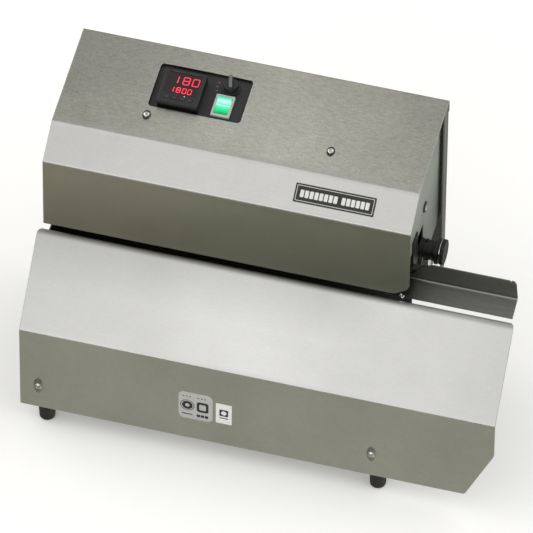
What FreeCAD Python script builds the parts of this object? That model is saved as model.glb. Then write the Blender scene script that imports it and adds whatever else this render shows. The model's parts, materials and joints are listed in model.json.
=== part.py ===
import FreeCAD, Part
import math
import os

# Continuous band sealer: stainless folded-sheet hood over a sloping base, with a film slot between them.
# Millimetres. Worked out from the hood's left end (x), the hood's front face (y) and the floor (z),
# then shifted so that the origin is the bottom centre of the machine's bounding box.

V = FreeCAD.Vector

# --- overall sizes -----------------------------------------------------------------------------
SHEET = 1.5                 # sheet thickness of the covers
BEND = 1.2                  # inside bend radius
FOOT_H = 26.0
HOOD_L = 433.0              # hood length
BASE_X0 = -5.0              # base cover, left end
BASE_X1 = 558.0             # base cover, right end of the free apron
BOX_X1 = 385.0              # right side of the closed base box
END_GAP = 6.5               # side plates sit this far inside the covers
Z_BASE = FOOT_H             # base cover, lower edge
Z_CREASE = 147.5            # base cover, crease between front and slope
Z_LIP = 235.0               # base cover, top strip
Z_HOOD = 241.0              # hood front, lower edge
Z_FACET = 339.5             # hood front, upper crease
Z_ROOF = 369.5              # crease between facet and top panel
Z_REAR = 396.0              # hood, rear upper edge
Y_BASE = -84.0
Y_STRIP = -9.0
Y_LIP = -1.5
Y_ROOF = 38.0
Y_REAR = 168.5
HEAD_H = 2.6                # height of the pan heads
X_MID = (BASE_X0 + BASE_X1) / 2
Y_MID = (Y_BASE - HEAD_H + Y_REAR + HEAD_H) / 2

# --- transport unit ----------------------------------------------------------------------------
Z_FILM = 238.75             # plane of the film
MODULE = 1.5
DRIVE_TEETH = 28
PINION_TEETH = 20
CENTRES = MODULE * DRIVE_TEETH              # distance between upper and lower pulley axes
NIP = 0.6                                   # gap between the two belts
BELT_T = 1.5
BELT_R = CENTRES / 2 - NIP / 2              # outer radius of the belt on its pulley
RUN_GAP = 0.3                               # gap between belt and pulley
PULLEY_R = BELT_R - BELT_T - RUN_GAP
BELT_Y0 = 42.0
BELT_Y1 = 52.0
DRIVE_X = 40.0
IDLER_X = 400.0
PRESS_X = 350.0
PRESS_R = 10.0
PLATE_Y0 = 60.0
PLATE_Y1 = 63.0
GEAR_Y0 = 68.0
GEAR_W = 8.0
SHAFT_R = 4.0
FIT = 0.08                                  # radial running fit
PINION_ANGLE = math.radians(-60)

# --- control panel -----------------------------------------------------------------------------
OPEN_X0, OPEN_X1 = 100.5, 209.7             # opening in the top panel
OPEN_S0, OPEN_S1 = 45.0, 106.0              # measured up the slope from the roof crease
PANEL_DEPTH = 4.0                           # control plate, below the outer face of the top panel
CTRL_X, CTRL_S = 134.5, 71.5
CTRL_W, CTRL_H = 48.0, 46.0
CTRL_UP = 10.0                              # controller face above the top panel
ROCK_X, ROCK_S = 184.0, 65.0
ROCK_PIVOT = 1.5                            # rocker axis above the control plate
KNOB_X, KNOB_S = 186.5, 91.5
KNOB_R = 10.5
REST_TURN = 14.0                            # pointer of the dial at rest, degrees from the slope

# --- infeed ------------------------------------------------------------------------------------
GUIDE_X1 = 552.0
SPINDLE_Y = 72.0
SPINDLE_Z = 249.5


def box(x0, x1, y0, y1, z0, z1):
    """Box between two corners."""
    return Part.makeBox(x1 - x0, y1 - y0, z1 - z0, V(x0, y0, z0))


def rod(r, p, d, length):
    """Cylinder of radius r from point p along direction d."""
    return Part.makeCylinder(r, length, V(*p), V(*d))


def tube(r, bore, p, d, length):
    """Cylinder with a through bore."""
    return rod(r, p, d, length).cut(rod(bore, p, d, length))


def corner_arc(a, b, c, r):
    """Tangent points and middle point of a corner at b rounded with radius r (2-D)."""
    ua = math.atan2(a[1] - b[1], a[0] - b[0])
    uc = math.atan2(c[1] - b[1], c[0] - b[0])
    half = abs((uc - ua + math.pi) % (2 * math.pi) - math.pi) / 2
    t = r / math.tan(half)
    mid = math.atan2(math.sin(ua) + math.sin(uc), math.cos(ua) + math.cos(uc))
    p = (b[0] + t * math.cos(ua), b[1] + t * math.sin(ua))
    q = (b[0] + t * math.cos(uc), b[1] + t * math.sin(uc))
    m = r / math.sin(half) - r
    return p, (b[0] + m * math.cos(mid), b[1] + m * math.sin(mid)), q


def outline(pts, radii, to3d):
    """Closed face through 2-D points, each corner rounded by its radius (0 = sharp)."""
    n = len(pts)
    corners = []
    for i in range(n):
        if radii[i] > 0:
            corners.append(corner_arc(pts[i - 1], pts[i], pts[(i + 1) % n], radii[i]))
        else:
            corners.append((pts[i], None, pts[i]))
    edges = []
    for i in range(n):
        start, mid, end = corners[i]
        if mid:
            edges.append(Part.Arc(V(*to3d(*start)), V(*to3d(*mid)), V(*to3d(*end))).toShape())
        nxt = corners[(i + 1) % n][0]
        if math.dist(end, nxt) > 1e-6:
            edges.append(Part.makeLine(V(*to3d(*end)), V(*to3d(*nxt))))
    return Part.Face(Part.Wire(edges))


def prism_x(pts, x0, x1, radii=None):
    """Prism along X of a (y, z) outline."""
    radii = radii or [0] * len(pts)
    return outline(pts, radii, lambda u, v: (x0, u, v)).extrude(V(x1 - x0, 0, 0))


def prism_y(pts, y0, y1, radii=None):
    """Prism along Y of an (x, z) outline."""
    radii = radii or [0] * len(pts)
    return outline(pts, radii, lambda u, v: (u, y0, v)).extrude(V(0, y1 - y0, 0))


def prism_z(pts, z0, z1, radii=None):
    """Prism along Z of an (x, y) outline."""
    radii = radii or [0] * len(pts)
    return outline(pts, radii, lambda u, v: (u, v, z0)).extrude(V(0, 0, z1 - z0))


def offset_path(path, t):
    """Parallel copy of an open 2-D path, t to its right."""
    out = []
    n = len(path)
    for i in range(n):
        dirs = []
        for j in (i - 1, i):
            if 0 <= j < n - 1:
                dx, dy = path[j + 1][0] - path[j][0], path[j + 1][1] - path[j][1]
                length = math.hypot(dx, dy)
                dirs.append((dx / length, dy / length))
        normals = [(d[1], -d[0]) for d in dirs]
        if len(normals) == 1:
            k = 1.0
            nx, ny = normals[0]
        else:
            nx, ny = normals[0][0] + normals[1][0], normals[0][1] + normals[1][1]
            k = 2.0 / (nx * nx + ny * ny)
        out.append((path[i][0] + nx * k * t, path[i][1] + ny * k * t))
    return out


def folded(path, x0, x1, t=SHEET, bends=None):
    """Folded sheet along X. The (y, z) path is its outer side and the sheet lies to its right."""
    inner = offset_path(path, t)
    bends = bends or [BEND] * len(path)
    radii = []
    for i in range(len(path)):
        if i in (0, len(path) - 1):
            radii.append((0, 0))
            continue
        bend = bends[i]
        ax, ay = path[i][0] - path[i - 1][0], path[i][1] - path[i - 1][1]
        bx, by = path[i + 1][0] - path[i][0], path[i + 1][1] - path[i][1]
        turn_right = ax * by - ay * bx < 0
        radii.append((bend + t, bend) if turn_right else (bend, bend + t))
    pts = list(path) + inner[::-1]
    rr = [r[0] for r in radii] + [r[1] for r in radii][::-1]
    return prism_x(pts, x0, x1, rr)


def pan_screw(p, d, head_r=4.7, head_h=HEAD_H, shank_r=2.0, length=8.0, slot=4.6):
    """Pan-head screw with a cross recess. p is the seat of the head, d the way the head faces."""
    r = head_r
    h = head_h
    profile = Part.Wire([
        Part.makeLine(V(0, 0, -length), V(shank_r, 0, -length)),
        Part.makeLine(V(shank_r, 0, -length), V(shank_r, 0, 0)),
        Part.makeLine(V(shank_r, 0, 0), V(r, 0, 0)),
        Part.makeLine(V(r, 0, 0), V(r, 0, h * 0.35)),
        Part.Arc(V(r, 0, h * 0.35), V(r * 0.74, 0, h * 0.86), V(0, 0, h)).toShape(),
        Part.makeLine(V(0, 0, h), V(0, 0, -length)),
    ])
    body = Part.Face(profile).revolve(V(0, 0, 0), V(0, 0, 1), 360)
    for w, l in ((1.3, slot), (slot, 1.3)):
        body = body.cut(Part.makeBox(w, l, 1.6, V(-w / 2, -l / 2, h - 1.5)))
    body.Placement = FreeCAD.Placement(V(*p), FreeCAD.Rotation(V(0, 0, 1), V(*d)))
    return body


def gear(x, z, teeth, y0, width, bore, phase):
    """Spur gear about a Y axis, with straight-flanked teeth and some backlash."""
    pitch_r = MODULE * teeth / 2
    root = pitch_r - 1.15 * MODULE
    tip = pitch_r + 0.85 * MODULE
    step = 2 * math.pi / teeth
    half_pitch = 0.22 * step
    pts = []
    for k in range(teeth):
        a = phase + k * step
        for r, half in ((root, half_pitch * 1.50), (pitch_r, half_pitch), (tip, half_pitch * 0.48)):
            pts.append((x + r * math.cos(a - half), z + r * math.sin(a - half)))
        for r, half in ((tip, half_pitch * 0.48), (pitch_r, half_pitch), (root, half_pitch * 1.50)):
            pts.append((x + r * math.cos(a + half), z + r * math.sin(a + half)))
    wheel = prism_y(pts, y0, y0 + width)
    return wheel.cut(rod(bore, (x, y0 - 1, z), (0, 1, 0), width + 2))


ROOF_A = math.atan2(Z_REAR - Z_ROOF, Y_REAR - Y_ROOF)
FACET_A = math.atan2(Z_ROOF - Z_FACET, Y_ROOF)


def on_roof(x, s, h=0.0):
    """Point s up the top panel from its front crease and h above its outer face."""
    c, k = math.cos(ROOF_A), math.sin(ROOF_A)
    return (x, Y_ROOF + s * c - h * k, Z_ROOF + s * k + h * c)


def roof_block(x0, x1, s0, s1, h0, h1, r=0.0):
    """Block lying on the top panel, with its upright corners rounded by r."""
    pts = [(x0, s0), (x1, s0), (x1, s1), (x0, s1)]
    face = outline(pts, [r] * 4, lambda u, v: on_roof(u, v, h0))
    up = V(0, -math.sin(ROOF_A), math.cos(ROOF_A))
    return face.extrude(up * (h1 - h0))


def roof_rod(r, x, s, h0, h1):
    """Cylinder square to the top panel."""
    return rod(r, on_roof(x, s, h0), (0, -math.sin(ROOF_A), math.cos(ROOF_A)), h1 - h0)


def facet_block(x0, x1, s0, s1, h0, h1, r=0.0):
    """Block lying on the narrow facet."""
    c, k = math.cos(FACET_A), math.sin(FACET_A)
    pts = [(x0, s0), (x1, s0), (x1, s1), (x0, s1)]
    face = outline(pts, [r] * 4, lambda u, v: (u, v * c - h0 * k, Z_FACET + v * k + h0 * c))
    return face.extrude(V(0, -k, c) * (h1 - h0))


# --- base --------------------------------------------------------------------------------------

def base_cover():
    """Front and slope of the base in one folded sheet, with a lip at the top and a hem at the bottom."""
    path = [(Y_BASE + 4, Z_BASE), (Y_BASE, Z_BASE), (Y_BASE, Z_CREASE), (Y_STRIP, Z_LIP),
            (Y_LIP, Z_LIP), (Y_LIP, Z_LIP - 9)]
    sheet = folded(path, BASE_X0, BASE_X1, SHEET, [0, BEND, BEND, 6.5, BEND, 0])
    cham = prism_y([(BASE_X1 - 90, Z_BASE - 5), (BASE_X1 + 5, Z_BASE - 5), (BASE_X1 + 5, Z_BASE + 110),
                    (BASE_X1 + 0.01, Z_BASE + 110), (BASE_X1 + 0.01, Z_BASE + 73),
                    (BASE_X1 - 34, Z_BASE - 0.01), (BASE_X1 - 90, Z_BASE - 0.01)],
                   Y_BASE - 5, Y_BASE + 20, [0, 0, 0, 0, 14, 9, 0])
    sheet = sheet.cut(cham)
    for x, way in ((BASE_X0, 1), (BASE_X1, -1)):
        keep = prism_z([(x, -200), (x + way * 60, -200), (x + way * 60, Y_LIP), (x, Y_LIP)],
                       0, 300, [0, 0, 0, 9])
        end = box(min(x, x + way * 40), max(x, x + way * 40), -30, 20, 200, 260)
        sheet = sheet.cut(end.cut(keep))
    for x in (17.0, 414.0):
        sheet = sheet.cut(rod(2.2, (x, Y_BASE - 2, 61.5), (0, 1, 0), 6))
    return sheet


def base_tray():
    """Floor tray with an upturned front flange that the cover is screwed to."""
    y0 = Y_BASE + SHEET
    path = [(163.0, 60), (163.0, Z_BASE + SHEET), (y0, Z_BASE + SHEET), (y0, 88)]
    tray = folded(path, -2.0, HOOD_L, 2.0)
    for x, y in foot_places():
        tray = tray.cut(rod(2.6, (x, y, 20), (0, 0, 1), 20))
    for x in (17.0, 414.0):
        tray = tray.cut(rod(2.2, (x, Y_BASE, 61.5), (0, 1, 0), 6))
    for x, z in base_back_points():
        tray = tray.cut(rod(2.2, (x, 155, z), (0, 1, 0), 12))
    return tray


def base_side(x, notched):
    """Recessed side plate of the base box; the right one is notched for the belt unit."""
    pts = [(-80.4, 29.6), (-80.4, 147.0), (-14.0, 223.5), (-0.8, 223.5), (-0.8, 232.5),
           (146, 232.5), (160.9, 215), (160.9, 29.6)]
    plate = prism_x(pts, x, x + SHEET, [2.5, 0, 0, 2, 3, 4, 4, 2.5])
    if notched:
        notch = prism_x([(2, 145), (69, 145), (69, 240), (-5, 240), (-5, 223.4), (2, 223.4)],
                        x - 2, x + 4, [4, 4, 0, 0, 0, 0])
        plate = plate.cut(notch)
    return plate


def slots(x0, count, step, y, z0, z1, w=3.2):
    """Row of upright vent slots cut through a sheet whose outer face is at y."""
    out = []
    for i in range(count):
        x = x0 + i * step
        out.append(prism_y([(x, z0), (x + w, z0), (x + w, z1), (x, z1)], y - 5, y + 3, [w / 2.01] * 4))
    return Part.makeCompound(out)


def base_back():
    """Rear panel of the base box with the inlet cut-out and vents."""
    panel = box(3.0, BOX_X1, 163.0, 163.0 + SHEET, 30.0, 168.0)
    panel = panel.cut(slots(40, 12, 9, 164.5, 90, 130))
    panel = panel.cut(box(313.5, 341.5, 150, 180, 78, 98.5))
    for x, z in base_back_points():
        panel = panel.cut(rod(2.2, (x, 160, z), (0, 1, 0), 10))
    return panel


def base_back_points():
    return [(20, 46), (190, 46), (365, 46)]


def foot_places():
    return [(23.0, Y_BASE + 14.6), (419.0, Y_BASE + 14.6), (23.0, 146.0), (419.0, 146.0)]


def rubber_feet():
    """Four rubber feet with a rounded sole and a counterbored screw hole."""
    feet = []
    for x, y in foot_places():
        foot = Part.makeCone(9.2, 10.5, FOOT_H + SHEET, V(x, y, 0))
        sole = [e for e in foot.Edges if abs(e.BoundBox.ZMax) < 1e-6]
        foot = foot.makeFillet(3.2, sole)
        foot = foot.cut(rod(2.6, (x, y, -1), (0, 0, 1), 40))
        foot = foot.cut(rod(4.7, (x, y, -1), (0, 0, 1), 15))
        feet.append(foot)
    return Part.makeCompound(feet)


def foot_screws():
    screws = []
    for x, y in foot_places():
        screws.append(pan_screw((x, y, 14.0), (0, 0, -1), 4.3, 2.6, 2.4, 20.0))
    return Part.makeCompound(screws)


def base_front_screws():
    return Part.makeCompound([pan_screw((x, Y_BASE, 61.5), (0, -1, 0)) for x in (17.0, 414.0)])


def back_screws():
    """Screws of the hood's rear flange and of the base's rear panel."""
    out = [pan_screw((x, Y_REAR, z), (0, 1, 0)) for x, z in hood_back_points()]
    out += [pan_screw((x, 163.0 + SHEET, z), (0, 1, 0), length=5.0) for x, z in base_back_points()]
    return Part.makeCompound(out)


# --- mechanism frame ---------------------------------------------------------------------------

def axis_points():
    """Heights of the upper and of the lower pulley axes."""
    zu, zl = Z_FILM + CENTRES / 2, Z_FILM - CENTRES / 2
    return zu, zl


def press_z(upper):
    zu, zl = axis_points()
    inner = BELT_R - BELT_T
    return zu - inner + RUN_GAP + PRESS_R if upper else zl + inner - RUN_GAP - PRESS_R


def mechanism_plate():
    """Upright plate that carries both belt units and ties hood and base together.

    A guard behind it closes the floor of the open infeed corner.
    """
    zu, zl = axis_points()
    pts = [(14, 150), (421, 150), (421, 300), (390, 318), (14, 318)]
    plate = prism_y(pts, PLATE_Y0, PLATE_Y1, [6] * 5)
    for z in (zu, zl):
        plate = plate.cut(rod(6.0, (DRIVE_X, 50, z), (0, 1, 0), 20))
        plate = plate.cut(rod(3.0, (IDLER_X, 50, z), (0, 1, 0), 20))
    for up in (True, False):
        plate = plate.cut(rod(2.5, (PRESS_X, 50, press_z(up)), (0, 1, 0), 20))
    for x, z in stud_points():
        plate = plate.cut(rod(3.0, (x, 50, z), (0, 1, 0), 20))
    tab = box(409, 412, PLATE_Y1, 82, SPINDLE_Z - 12, SPINDLE_Z + 12)
    tab = tab.cut(rod(4.0, (400, SPINDLE_Y, SPINDLE_Z), (1, 0, 0), 20))
    guard = box(BOX_X1 + 1.5, 408.5, PLATE_Y1, 82, 224, 226)
    guard = guard.fuse(box(BOX_X1 + 1.5, HOOD_L - 8.5, 82, 164.5, 224, 226))
    return plate.fuse([tab, guard]).removeSplitter()


def mechanism_legs():
    """Two angle brackets from the tray to the mechanism plate."""
    legs = []
    for x in (150.0, 330.0):
        foot = [(PLATE_Y1, 220), (PLATE_Y1, 29.5), (93.0, 29.5), (93.0, 32.5), (66.0, 32.5), (66.0, 220)]
        leg = prism_x(foot, x, x + 34, [0, 0, 0, 0, 3, 0])
        rib = prism_x([(66.0, 32.5), (90.0, 32.5), (66.0, 90.0)], x + 15, x + 19)
        legs.append(leg.fuse(rib).removeSplitter())
    return Part.makeCompound(legs)


# --- hood --------------------------------------------------------------------------------------

def hood_cover():
    """Hood front, facet and top panel in one folded sheet, with the opening for the controls."""
    path = [(0.0, Z_HOOD), (0.0, Z_FACET), (Y_ROOF, Z_ROOF), (Y_REAR, Z_REAR), (Y_REAR, Z_REAR - 18)]
    sheet = folded(path, 0.0, HOOD_L)
    cut = prism_y([(HOOD_L + 2, Z_HOOD - 2), (HOOD_L - 30, Z_HOOD - 2), (HOOD_L - 16, Z_HOOD + 1.0),
                   (HOOD_L - 3, Z_HOOD + 9.5), (HOOD_L, Z_HOOD + 15.5), (HOOD_L + 2, Z_HOOD + 45)], -5, 8,
                  [0, 0, 9, 6, 7, 0])
    sheet = sheet.cut(cut)
    sheet = sheet.cut(roof_block(OPEN_X0, OPEN_X1, OPEN_S0, OPEN_S1, -8, 8, 4.5))
    for x in (103.2, 320.2):
        sheet = sheet.cut(roof_rod(2.2, x, 32.0, -8, 4))
    for x, z in hood_back_points():
        sheet = sheet.cut(rod(2.2, (x, 160, z), (0, 1, 0), 15))
    return sheet


def hood_side(x, mirror):
    """Recessed side plate of the hood; its front lower part is open for the film and the guide."""
    low = 212.0 if mirror else 243.5
    pts = [(3.0, 276), (3.0, Z_FACET - 1.5), (38.6, Z_ROOF - 3.3), (164.5, Z_REAR - 4.2), (164.5, low + 4),
           (84, low - 4 * mirror), (84, 276)]
    plate = prism_x(pts, x, x + SHEET, [3, 0, 0, 3, 3, 3, 3])
    plate = plate.cut(rod(2.2, (x - 2, 89.0, 298.0), (1, 0, 0), 6))
    lug_x = x - 12 if mirror else x + SHEET
    lug = box(lug_x, lug_x + 12, 66.5, 79.0, 300.0, 303.0)
    return plate.fuse(lug).removeSplitter()


def hood_back():
    """Rear panel of the hood; its ends are folded forwards."""
    y1 = Y_REAR - SHEET
    z0, z1 = 134.0, Z_REAR - 3.2
    path = [(0.0, y1 - 17), (0.0, y1), (HOOD_L, y1), (HOOD_L, y1 - 17)]
    inner = offset_path(path, SHEET)
    pts = list(path) + inner[::-1]
    rr = [0, BEND + SHEET, BEND + SHEET, 0, 0, BEND, BEND, 0]
    panel = prism_z(pts, z0, z1, rr)
    under = [(y, Z_ROOF + (y - Y_ROOF) * math.tan(ROOF_A) - 2.0) for y in (120, 180)]
    for end in (0.0, HOOD_L):
        panel = panel.cut(prism_x(under + [(180, 420), (120, 420)], end - 3, end + 3))
    for x0 in (60, 250):
        for z in (210, 262):
            panel = panel.cut(slots(x0, 14, 9, y1, z, z + 38))
    for x, z in hood_back_points():
        panel = panel.cut(rod(2.2, (x, 150, z), (0, 1, 0), 30))
    return panel


def hood_back_points():
    return [(24, 386), (152, 386), (281, 386), (409, 386)]


def hood_brackets():
    """Two brackets from the mechanism plate up to the underside of the top panel."""
    out = []
    for x in (103.2, 320.2):
        tops = []
        for y in (PLATE_Y1, PLATE_Y1 + 2):
            tops.append((y, Z_ROOF + (y - Y_ROOF) * math.tan(ROOF_A) - SHEET - 1.0))
        leg = prism_x([(PLATE_Y1, 285), (PLATE_Y1 + 2, 285), tops[1], tops[0]], x - 11, x + 11)
        flange = roof_block(x - 11, x + 11, 19.0, 38.0, -SHEET - 2, -SHEET)
        bracket = leg.fuse(flange).removeSplitter()
        out.append(bracket.cut(roof_rod(2.2, x, 32.0, -14, 0)))
    return Part.makeCompound(out)


def hood_screws():
    """Cover screws: two in the top panel and one in each side plate."""
    up = (0, -math.sin(ROOF_A), math.cos(ROOF_A))
    out = [pan_screw(on_roof(x, 32.0), up, length=7.0) for x in (103.2, 320.2)]
    out.append(pan_screw((HOOD_L - END_GAP, 89.0, 298.0), (1, 0, 0), length=6.0))
    out.append(pan_screw((END_GAP, 89.0, 298.0), (-1, 0, 0), length=6.0))
    return Part.makeCompound(out)


def name_plate():
    """Plain name plate on the facet: a dark plate in a thin raised frame."""
    plate = facet_block(292.4, 386.5, 11.6, 33.4, 0.0, 0.5, 0.8)
    frame = facet_block(292.4, 386.5, 11.6, 33.4, 0.5, 0.8, 0.8)
    frame = frame.cut(facet_block(293.7, 385.2, 12.9, 32.1, 0.4, 1.0, 0.4))
    return plate.fuse(frame).removeSplitter()


def front_sticker(x0, x1, z0, z1, r):
    pts = [(x0, z0), (x1, z0), (x1, z1), (x0, z1)]
    return prism_y(pts, Y_BASE - 0.25, Y_BASE, [r] * 4)


# --- controls ----------------------------------------------------------------------------------

def control_plate():
    """Dark plate under the opening, carrying the controller, the switch and the dial."""
    h1 = -PANEL_DEPTH
    plate = roof_block(OPEN_X0 - 10, OPEN_X1 + 10, OPEN_S0 - 6, OPEN_S1 + 6, h1 - 2.0, h1, 2)
    rim = roof_block(OPEN_X0 - 10, OPEN_X1 + 10, OPEN_S0 - 6, OPEN_S1 + 6, h1, -SHEET, 2)
    rim = rim.cut(roof_block(OPEN_X0 - 7, OPEN_X1 + 7, OPEN_S0 - 3, OPEN_S1 + 3, h1 - 1, 0, 1))
    plate = plate.fuse(rim).removeSplitter()
    plate = plate.cut(roof_block(CTRL_X - 22.3, CTRL_X + 22.3, CTRL_S - 21.3, CTRL_S + 21.3, -12, 2))
    plate = plate.cut(roof_block(ROCK_X - 9.6, ROCK_X + 9.6, ROCK_S - 13.1, ROCK_S + 13.1, -12, 2))
    return plate.cut(roof_rod(3.6, KNOB_X, KNOB_S, -12, 2))


def key_places():
    return [(CTRL_X - 13.5 + 9.0 * i, CTRL_S - 16.0) for i in range(4)]


def controller_case():
    """Temperature controller: raised bezel, body below the plate, pocket for the display."""
    h0 = -PANEL_DEPTH
    bezel = roof_block(CTRL_X - CTRL_W / 2, CTRL_X + CTRL_W / 2, CTRL_S - CTRL_H / 2,
                       CTRL_S + CTRL_H / 2, h0, CTRL_UP, 1.2)
    top = [e for e in bezel.Edges if is_face_edge(e, CTRL_UP)]
    bezel = bezel.makeFillet(1.0, top)
    body = roof_block(CTRL_X - 22, CTRL_X + 22, CTRL_S - 21, CTRL_S + 21, -66, h0)
    case = bezel.fuse(body).removeSplitter()
    case = case.cut(roof_block(CTRL_X - 19.5, CTRL_X + 19.5, CTRL_S - 10.5, CTRL_S + 19.0,
                               CTRL_UP - 1.4, CTRL_UP + 2, 1.0))
    for x, s in key_places():
        case = case.cut(roof_block(x - 3.05, x + 3.05, s - 2.05, s + 2.05, CTRL_UP - 4.5, CTRL_UP + 2, 0.6))
    return case


def is_face_edge(edge, h):
    """True for an edge that lies in the plane h above the top panel."""
    c, k = math.cos(ROOF_A), math.sin(ROOF_A)
    for v in edge.Vertexes:
        up = -(v.Point.y - Y_ROOF) * k + (v.Point.z - Z_ROOF) * c
        if abs(up - h) > 1e-4:
            return False
    return True


def controller_window():
    return roof_block(CTRL_X - 19.4, CTRL_X + 19.4, CTRL_S - 10.4, CTRL_S + 18.9,
                      CTRL_UP - 1.4, CTRL_UP - 0.5, 0.9)


def controller_key(i):
    x, s = key_places()[i]
    return roof_block(x - 2.7, x + 2.7, s - 1.7, s + 1.7, CTRL_UP - 3.2, CTRL_UP + 0.4, 0.4)


def rocker_bezel():
    """Snap-in frame of the mains switch with its body."""
    h0 = -PANEL_DEPTH
    frame = roof_block(ROCK_X - 11, ROCK_X + 11, ROCK_S - 15, ROCK_S + 15, h0, h0 + 3.0, 1.0)
    body = roof_block(ROCK_X - 9.4, ROCK_X + 9.4, ROCK_S - 12.9, ROCK_S + 12.9, h0 - 24, h0)
    frame = frame.fuse(body).removeSplitter()
    well = roof_block(ROCK_X - 8.3, ROCK_X + 8.3, ROCK_S - 11.8, ROCK_S + 11.8, h0 - 9, h0 + 5, 0.5)
    pivot = rod(0.88, on_roof(ROCK_X - 9.0, ROCK_S, h0 + ROCK_PIVOT), (1, 0, 0), 18.0)
    return frame.cut(well).cut(pivot)


def rocker_button():
    """Rocker with two slightly tilted faces, pivoting about its middle."""
    h0 = -PANEL_DEPTH
    c, k = math.cos(ROOF_A), math.sin(ROOF_A)
    prof = [(-10.6, 0.6), (-10.6, 1.6), (0.0, 3.4), (10.6, 5.2), (10.6, 3.0), (4.5, -3.6), (-4.5, -4.6)]
    pts = []
    for s, h in prof:
        y = Y_ROOF + (ROCK_S + s) * c - (h0 + h) * k
        z = Z_ROOF + (ROCK_S + s) * k + (h0 + h) * c
        pts.append((y, z))
    button = prism_x(pts, ROCK_X - 7.9, ROCK_X + 7.9, [0.5, 0.5, 0, 0.5, 0.5, 2.0, 2.0])
    pins = rod(0.8, on_roof(ROCK_X - 8.8, ROCK_S, h0 + ROCK_PIVOT), (1, 0, 0), 17.6)
    return button.fuse(pins).removeSplitter()


def speed_pot():
    """Speed potentiometer under the plate, with its neck and shaft through it."""
    h0 = -PANEL_DEPTH
    can = roof_rod(12.0, KNOB_X, KNOB_S, h0 - 14, h0 - 2.0)
    neck = roof_rod(3.5, KNOB_X, KNOB_S, h0 - 2.0, h0 + 0.6)
    shaft = roof_rod(3.0, KNOB_X, KNOB_S, h0 - 2.0, h0 + 9.0)
    return can.fuse(neck).fuse(shaft).removeSplitter()


def speed_knob():
    """Turned knob with a raised grip bar as pointer."""
    h0 = -PANEL_DEPTH
    knob = roof_rod(KNOB_R, KNOB_X, KNOB_S, h0 + 0.9, h0 + 3.2)
    knob = knob.fuse(roof_rod(8.2, KNOB_X, KNOB_S, h0 + 3.2, h0 + 10.4))
    bar = roof_block(KNOB_X - 2.1, KNOB_X + 2.1, KNOB_S - 8.6, KNOB_S + 9.4, h0 + 3.2, h0 + 15.0, 1.8)
    bar.rotate(V(*on_roof(KNOB_X, KNOB_S)), V(0, -math.sin(ROOF_A), math.cos(ROOF_A)), REST_TURN)
    knob = knob.fuse(bar).removeSplitter()
    return knob.cut(roof_rod(3.0 + FIT, KNOB_X, KNOB_S, h0 - 1, h0 + 9.4))


# --- infeed ------------------------------------------------------------------------------------

def infeed_guide():
    """Angled channel that leads the bag mouth into the slot."""
    path = [(24.2, 275.0), (34.0, 238.6), (10.0, 228.0)]
    guide = folded(path, 402.0, GUIDE_X1, 1.2, [0, 3.0, 0])
    swoop = [(395, 246), (428, 246), (441, 268), (456, 275.2), (456, 300), (395, 300)]
    guide = guide.cut(prism_y(swoop, 0, 60, [0, 12, 14, 0, 0, 0]))
    guide = guide.cut(box(GUIDE_X1 - 7, GUIDE_X1 - 5.6, 15, 40, 272.6, 280))
    corner = [(GUIDE_X1 - 4, 280), (GUIDE_X1 + 1, 280), (GUIDE_X1 + 1, 266)]
    return guide.cut(prism_y(corner, 0, 60))


def guide_hanger():
    """Black strap from the hood's side plate down behind the infeed guide."""
    x = HOOD_L - END_GAP
    leg = box(x, x + 2.0, 34.0, 54.0, 244.0, 292.0)
    foot = prism_x([(32.6, 244), (38.5, 244), (38.5, 256), (29.4, 256)], x, x + 40)
    return leg.fuse(foot).removeSplitter()


def tension_spindle():
    """Threaded spindle of the belt tensioner."""
    spindle = rod(4.0, (400, SPINDLE_Y, SPINDLE_Z), (1, 0, 0), 55.0)
    nut = prism_x([(SPINDLE_Y + 7.5 * math.cos(math.radians(60 * i)),
                    SPINDLE_Z + 7.5 * math.sin(math.radians(60 * i))) for i in range(6)], 404, 409)
    washer = rod(14.0, (450.8, SPINDLE_Y, SPINDLE_Z), (1, 0, 0), 1.0)
    return spindle.fuse(nut).fuse(washer).removeSplitter()


def spindle_bracket():
    """Bright bracket with two lugs under the bush, seated against the tab of the mechanism plate."""
    floor = box(412.0, 441.0, 64.0, 80.0, 220.5, 223.5)
    back = box(412.0, 414.5, 64.0, 80.0, 220.5, SPINDLE_Z - 8)
    inner = box(417.5, 421.5, 66.0, 76.0, 223.5, SPINDLE_Z - 12.2)
    outer = box(431.5, 438.0, 66.0, 78.0, 223.5, SPINDLE_Z - 12.2)
    return floor.fuse([back, inner, outer]).removeSplitter()


def spindle_bush():
    """Black ribbed bush and stop disc on the spindle, with a locking pin."""
    x0 = HOOD_L - END_GAP + 0.5
    bush = rod(10.5, (x0, SPINDLE_Y, SPINDLE_Z), (1, 0, 0), 19.5)
    for x in (x0, x0 + 5.5, x0 + 11.0, x0 + 16.5):
        bush = bush.fuse(rod(12.0, (x, SPINDLE_Y, SPINDLE_Z), (1, 0, 0), 3.0))
    bush = bush.fuse(rod(15.5, (x0 + 19.5, SPINDLE_Y, SPINDLE_Z), (1, 0, 0), 3.0))
    bush = bush.fuse(rod(9.0, (x0 + 22.5, SPINDLE_Y, SPINDLE_Z), (1, 0, 0), 1.3))
    bush = bush.fuse(rod(1.2, (x0 + 7.0, SPINDLE_Y, SPINDLE_Z), (0, 0, 1), 14.5))
    return bush.cut(rod(4.0, (x0 - 5, SPINDLE_Y, SPINDLE_Z), (1, 0, 0), 60)).removeSplitter()


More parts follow.
